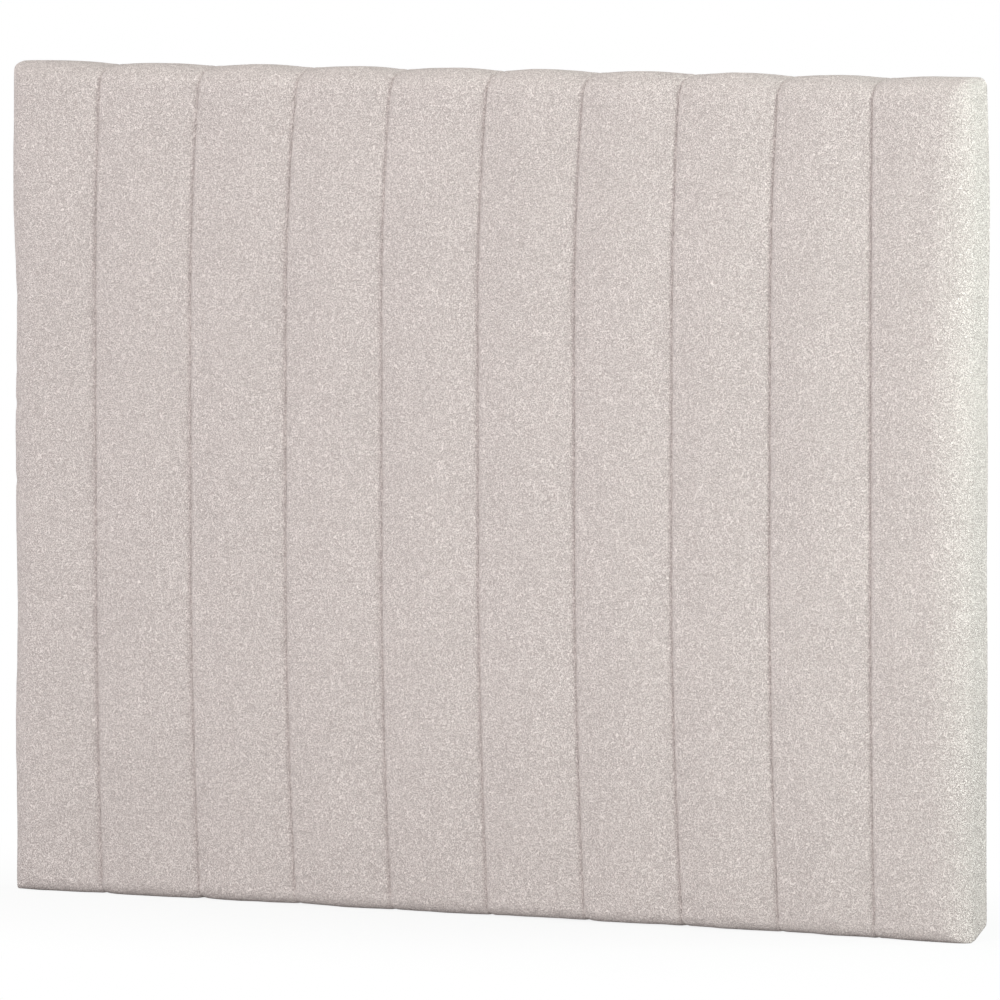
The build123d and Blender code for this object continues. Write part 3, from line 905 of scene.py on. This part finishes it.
def turned_in_depth(points, t):
    """Depth of the turned-in cloth below the back: it sinks to the opening and folds over at the corners."""
    x, z = points[:, 0], points[:, 2]
    corner = np.clip((np.abs(x) - corner_start) / corner_reach, 0, 1)
    diagonal = np.abs(z - height / 2) - np.abs(x) + (half_width - height / 2)
    fold = fold_depth * np.exp(-((diagonal / fold_width) ** 2)) * corner
    ripple = turn_ripple * soft_noise(x, z, turn_ripple_length, 21)
    return turn_sink * t + fold + np.abs(ripple)


class HEADBOARD_OT_cover(bpy.types.Operator):
    """Make the boucle cover with its channels, rolls and turned-in back"""

    bl_idname = "headboard.cover"
    bl_label = "Cover"

    def execute(self, context):
        sizes = context.scene.headboard_sizes
        stations = (across_stations(sizes.columns_per_channel), upward_stations(sizes.row_height))
        forming = {"turn_depth": turned_in_depth, "seam_depth": sizes.seam_depth, "waves": cover_waves(sizes)}
        outer_back, inner_back = cover_back - back_gap, cover_back - cloth
        outer, shape, rings = layer(*stations, 0.0, 0.0, outer_back, edge=back_edge_roll, **forming)
        inner, _, _ = layer(*stations, cloth, cloth, inner_back, **forming)
        quads = np.concatenate([grid_quads(*shape), rim_quads(*shape, rings)])
        points, faces = closed_shell(tucked(outer, 0), tucked(inner, cloth), quads)
        material = boucle_material(sizes, context.scene.headboard_colours)
        piece("quilted_cover", points, faces, material, "boucle_cover")
        return {"FINISHED"}


def under_layer(outer_inset, inner_inset, back, inner_points=None, channel=None, **seaming):
    """Wall between two layers under the cover, without the foot, of the whole width or of one channel.

    Each face has a label, the channel that it lies in, and those of the foot have none.
    """
    across = across_stations(layer_columns)
    upward = upward_stations(layer_row)
    outer, shape, rings = layer(across, upward, outer_inset, core_bottom, back, **seaming)
    if inner_points is None:
        inner, _, _ = layer(across, upward, inner_inset, core_bottom, back)
    else:
        inner = inner_points(outer, shape)
    sides = shape[0] - 1
    x0 = across[0]
    channels = np.searchsorted(seams, (x0[:-1] + x0[1:]) / 2)
    foot = np.full(len(channels), -1)
    last = np.full(sides, channel_count - 1)
    first = np.zeros(sides, int)
    border = np.concatenate([foot, last, channels[::-1], first])
    labels = np.concatenate([np.tile(channels, sides), np.tile(border, rings)])
    keep = labels >= 0 if channel is None else labels == channel
    quads = np.concatenate([grid_quads(*shape), rim_quads(*shape, rings)])
    return closed_shell(tucked(outer, outer_inset), inner, quads[keep])


class HEADBOARD_OT_fillings(bpy.types.Operator):
    """Make the wadding that fills each channel"""

    bl_idname = "headboard.fillings"
    bl_label = "Channel fillings"

    def execute(self, context):
        tint = context.scene.headboard_colours.wadding
        material = fibre_material("Wadding", tint, scale=500.0, mottle=45.0, relief=wadding_relief)
        seaming = {
            "seam_depth": context.scene.headboard_sizes.seam_depth,
            "seam_limit": backing_inset - filling_inset - backing_cloth / 2,
        }
        for k in range(channel_count):
            points, faces = under_layer(filling_inset, backing_inset, filling_back, channel=k, **seaming)
            filling = f"channel_filling_{k + 1:02d}"
            piece(f"wadding_{k + 1:02d}", points, faces, material, filling)
        return {"FINISHED"}


class HEADBOARD_OT_backing(bpy.types.Operator):
    """Make the cloth behind the fillings, which the seams go through"""

    bl_idname = "headboard.backing"
    bl_label = "Quilt backing"

    def execute(self, context):
        tint = context.scene.headboard_colours.backing
        points, faces = under_layer(backing_inset, foam_inset, soft_back)
        material = fibre_material("Quilt backing", tint, scale=1200.0, drawn=every_way)
        piece("backing_cloth", points, faces, material, "quilt_backing")
        return {"FINISHED"}


def foam_inside(outer, shape):
    """The side of the foam on the panel and the frame: the outer points drawn in to the core's box."""
    across = outer[:, 0] * core_half / (half_width - foam_inset)
    foam_top = height - foam_inset
    up = core_bottom + (outer[:, 2] - core_bottom) * (core_top - core_bottom) / (foam_top - core_bottom)
    depth = np.maximum(outer[:, 1], panel_front)
    front = shape[0] * shape[1]
    depth[:front] = panel_front
    return np.stack([across, depth, up], axis=-1)


class HEADBOARD_OT_foam(bpy.types.Operator):
    """Make the foam over the panel and round the frame"""

    bl_idname = "headboard.foam"
    bl_label = "Foam"

    def execute(self, context):
        tint = context.scene.headboard_colours.foam
        points, faces = under_layer(foam_inset, 0.0, soft_back, inner_points=foam_inside)
        material = fibre_material("Foam", tint, scale=700.0, relief=foam_relief, darkest=0.9, drawn=every_way)
        piece("foam_pad", points, faces, material, "foam_slab")
        return {"FINISHED"}


def dust_stations(low, high, centres):
    """Even places between two ends, with finer ones across each hole."""
    marks = [low, *[c + side for c in centres for side in (-hole_grid_reach, hole_grid_reach)], high]
    runs = []
    for k, (start, end) in enumerate(zip(marks[:-1], marks[1:])):
        count = hole_stations if k % 2 else max(round((end - start) / dust_step), 2)
        runs.append(np.linspace(start, end, count + 1)[1:])
    return np.concatenate([[low], *runs])


def around_holes(x, z):
    """The grid drawn round each hole, and which of its points lie in a hole: square rings of the grid become
    circles towards the hole."""
    reach = hole_grid_reach
    inner = reach / 2
    hidden = np.zeros(x.shape, bool)
    for cx in (-insert_x, insert_x):
        for cz in insert_heights:
            dx, dz = x - cx, z - cz
            square = np.maximum(np.abs(dx), np.abs(dz))
            radius = np.maximum(np.hypot(dx, dz), tiny)
            share = np.clip((reach - square) / (reach - inner), 0, 1)
            wanted = insert_hole + (square - inner) * (reach - insert_hole) / (reach - inner)
            factor = 1 + share * (np.maximum(wanted, 0) / radius - 1)
            inside = square < reach
            x = np.where(inside, cx + dx * factor, x)
            z = np.where(inside, cz + dz * factor, z)
            hidden |= square < inner - hole_margin
    return x, z, hidden


class HEADBOARD_OT_dust_cover(bpy.types.Operator):
    """Make the dust cover, a stapled cloth over the back with a hole at each insert"""

    bl_idname = "headboard.dust_cover"
    bl_label = "Dust cover"

    def execute(self, context):
        xs = dust_stations(dust_low.x, dust_high.x, (-insert_x, insert_x))
        zs = dust_stations(dust_low.z, dust_high.z, insert_heights)
        x, z = np.meshgrid(xs, zs)
        border = np.minimum(dust_high.x - np.abs(x), np.minimum(z - dust_low.z, dust_high.z - z))
        loose = np.clip((border - dust_border) / dust_slack_reach, 0, 1)
        x, z, hidden = around_holes(x, z)
        slack = loose * (1 - np.exp(-(((np.abs(x) - insert_x) / dust_slack_reach) ** 2)))
        sag = dust_sag + dust_ripple * soft_noise(x, z, dust_ripple_length, 31)
        pull = dust_pull * soft_noise(x, z * dust_pull_draw, dust_pull_length, 33)
        y = board_back - dust_gap - np.clip(slack * (sag + pull), 0, None)
        skin = np.stack([x, y, z], axis=-1).reshape(-1, 3)
        quads = grid_quads(*x.shape)[:, ::-1]
        quads = quads[~hidden.ravel()[quads].any(axis=1)]
        points, faces = closed_shell(skin, skin - [0, dust_cloth, 0], quads)
        tint = context.scene.headboard_colours.dust_cover
        material = fibre_material(
            "Dust cover", tint, scale=1100.0, mottle=260.0, relief=dust_relief, darkest=0.6
        )
        made = piece("dust_cover_cloth", points, faces, material, "dust_cover")
        return {"FINISHED"}


class HEADBOARD_OT_frame_finishes(bpy.types.Operator):
    """Give the timber, the panel and the fasteners their finishes"""

    bl_idname = "headboard.frame_finishes"
    bl_label = "Frame finishes"

    def execute(self, context):
        colours = context.scene.headboard_colours
        upright = wood_material("Upright timber", colours.timber, (1.0, 1.0, 0.06))
        level = wood_material("Level timber", colours.timber, (0.06, 1.0, 1.0))
        blocks = wood_material("Plywood blocks", colours.timber, (1.0, 0.3, 1.0), rings=90.0)
        hardboard = fibre_material(
            "Hardboard",
            colours.hardboard,
            scale=1500.0,
            mottle=90.0,
            relief=hardboard_relief,
            roughness=0.6,
            drawn=every_way,
        )
        finish_nodes(upright, "left_stile", "right_stile", "left_fixing_stile", "right_fixing_stile")
        finish_nodes(level, "top_rail", "bottom_rail")
        finish_nodes(blocks, "corner_blocks")
        finish_nodes(hardboard, "front_panel")
        finish_nodes(metal_material("Zinc screws", colours.screws, 0.35), "frame_screws")
        finish_nodes(metal_material("Insert steel", colours.steel, 0.4), "insert_nuts")
        staple_wire = metal_material("Staple wire", colours.steel, 0.3)
        finish_nodes(staple_wire, "panel_staples", "cover_staples", "dust_cover_staples")
        return {"FINISHED"}


# Stage


def area_lamp(name, place, target, size, power, tint):
    """A soft lamp at a place, facing a target."""
    light = bpy.data.lights.new(name, "AREA")
    light.shape = "RECTANGLE"
    light.size, light.size_y = size
    light.energy = power
    light.color = tint
    lamp = bpy.data.objects.new(name, light)
    bpy.context.scene.collection.objects.link(lamp)
    lamp.visible_camera = False
    lamp.location = place
    lamp.rotation_euler = (Vector(target) - Vector(place)).to_track_quat("-Z", "Y").to_euler()


def seen_rays(tree):
    """1 for rays that show the background: the camera's, and those of reflections and glass."""
    rays = tree.nodes.new("ShaderNodeLightPath").outputs
    seen = maths(tree, "ADD", rays["Is Camera Ray"], rays["Is Glossy Ray"])
    seen = maths(tree, "ADD", seen, rays["Is Transmission Ray"])
    return maths(tree, "MINIMUM", seen, 1.0)


def make_world():
    """Soft light from all round, seen as plain white."""
    world = bpy.data.worlds.new("Studio")
    bpy.context.scene.world = world
    world.use_nodes = True
    tree = world.node_tree
    background = tree.nodes["Background"]
    background.inputs["Color"].default_value = (*white, 1.0)
    level = value_range(tree, seen_rays(tree), {"To Min": world_light, "To Max": 1.0})
    tree.links.new(level, background.inputs["Strength"])


def make_floor():
    """A pale floor, seen as white from a little way off, which keeps a soft shadow beside the board."""
    places = np.linspace(-floor_half, floor_half, 3)
    x, y = np.meshgrid(places, places)
    points = np.stack([x, y, np.full(x.shape, -floor_gap)], axis=-1).reshape(-1, 3)
    mesh = bpy.data.meshes.new("floor")
    mesh.from_pydata(points.tolist(), [], grid_quads(*x.shape).tolist())
    floor = bpy.data.objects.new("floor", mesh)
    bpy.context.scene.collection.objects.link(floor)
    material, tree, shader, place = new_material("Floor", 0.9)
    shader.inputs["Base Color"].default_value = floor_grey
    glow = add_node(tree, "ShaderNodeEmission", {"Color": (*white, 1.0), "Strength": 1.0})
    flattened = vectors(tree, "MULTIPLY", place, shade_draw)
    reach = vectors(tree, "LENGTH", flattened, output="Value")
    fade = {"From Min": fade_start, "From Max": fade_end, "To Min": shade_share, "To Max": 1.0}
    away = value_range(tree, reach, fade, kind="SMOOTHSTEP")
    share = maths(tree, "MULTIPLY", seen_rays(tree), away)
    mixed = add_node(tree, "ShaderNodeMixShader", {0: share, 1: shader.outputs[0], 2: glow.outputs[0]})
    tree.links.new(mixed.outputs[0], tree.nodes["Material Output"].inputs["Surface"])
    mesh.materials.append(material)


def make_camera(scene):
    """The photo's camera: at its distance from the target, turned by the yaw and raised by the elevation."""
    camera = bpy.data.cameras.new("camera")
    camera.lens = camera_lens
    camera.sensor_width = sensor_width
    camera.clip_end = camera_reach
    holder = bpy.data.objects.new("camera", camera)
    scene.collection.objects.link(holder)
    level = math.cos(camera_elevation)
    back = Vector((math.sin(camera_yaw) * level, -math.cos(camera_yaw) * level, math.sin(camera_elevation)))
    holder.location = Vector(camera_target) + back * camera_distance
    holder.rotation_euler = (-back).to_track_quat("-Z", "Y").to_euler()
    scene.camera = holder


class HEADBOARD_OT_stage(bpy.types.Operator):
    """Make the floor, the lamps and the camera"""

    bl_idname = "headboard.stage"
    bl_label = "Stage"

    def execute(self, context):
        context.scene.view_settings.view_transform = "Standard"
        make_world()
        make_floor()
        for lamp in lamps:
            area_lamp(*lamp)
        make_camera(context.scene)
        return {"FINISHED"}


class HEADBOARD_PT_panel(bpy.types.Panel):
    bl_label = "Channelled headboard"
    bl_idname = "HEADBOARD_PT_panel"
    bl_space_type = "VIEW_3D"
    bl_region_type = "UI"
    bl_category = "Headboard"

    def draw(self, context):
        """Lists the sizes, the colours and the operators."""
        scene = context.scene
        for group in (scene.headboard_sizes, scene.headboard_colours):
            for name in group.__annotations__:
                self.layout.prop(group, name)
        for operator in operators:
            self.layout.operator(operator.bl_idname)


operators = (
    HEADBOARD_OT_cover,
    HEADBOARD_OT_fillings,
    HEADBOARD_OT_backing,
    HEADBOARD_OT_foam,
    HEADBOARD_OT_dust_cover,
    HEADBOARD_OT_frame_finishes,
    HEADBOARD_OT_stage,
)
classes = (HeadboardSizes, HeadboardColours, *operators, HEADBOARD_PT_panel)


def register():
    for each in classes:
        bpy.utils.register_class(each)
    bpy.types.Scene.headboard_sizes = bpy.props.PointerProperty(type=HeadboardSizes)
    bpy.types.Scene.headboard_colours = bpy.props.PointerProperty(type=HeadboardColours)


def unregister():
    del bpy.types.Scene.headboard_sizes
    del bpy.types.Scene.headboard_colours
    for each in reversed(classes):
        bpy.utils.unregister_class(each)


def main():
    register()
    bpy.ops.headboard.cover()
    bpy.ops.headboard.fillings()
    bpy.ops.headboard.backing()
    bpy.ops.headboard.foam()
    bpy.ops.headboard.dust_cover()
    bpy.ops.headboard.frame_finishes()
    bpy.ops.headboard.stage()


if __name__ == "__main__":
    main()
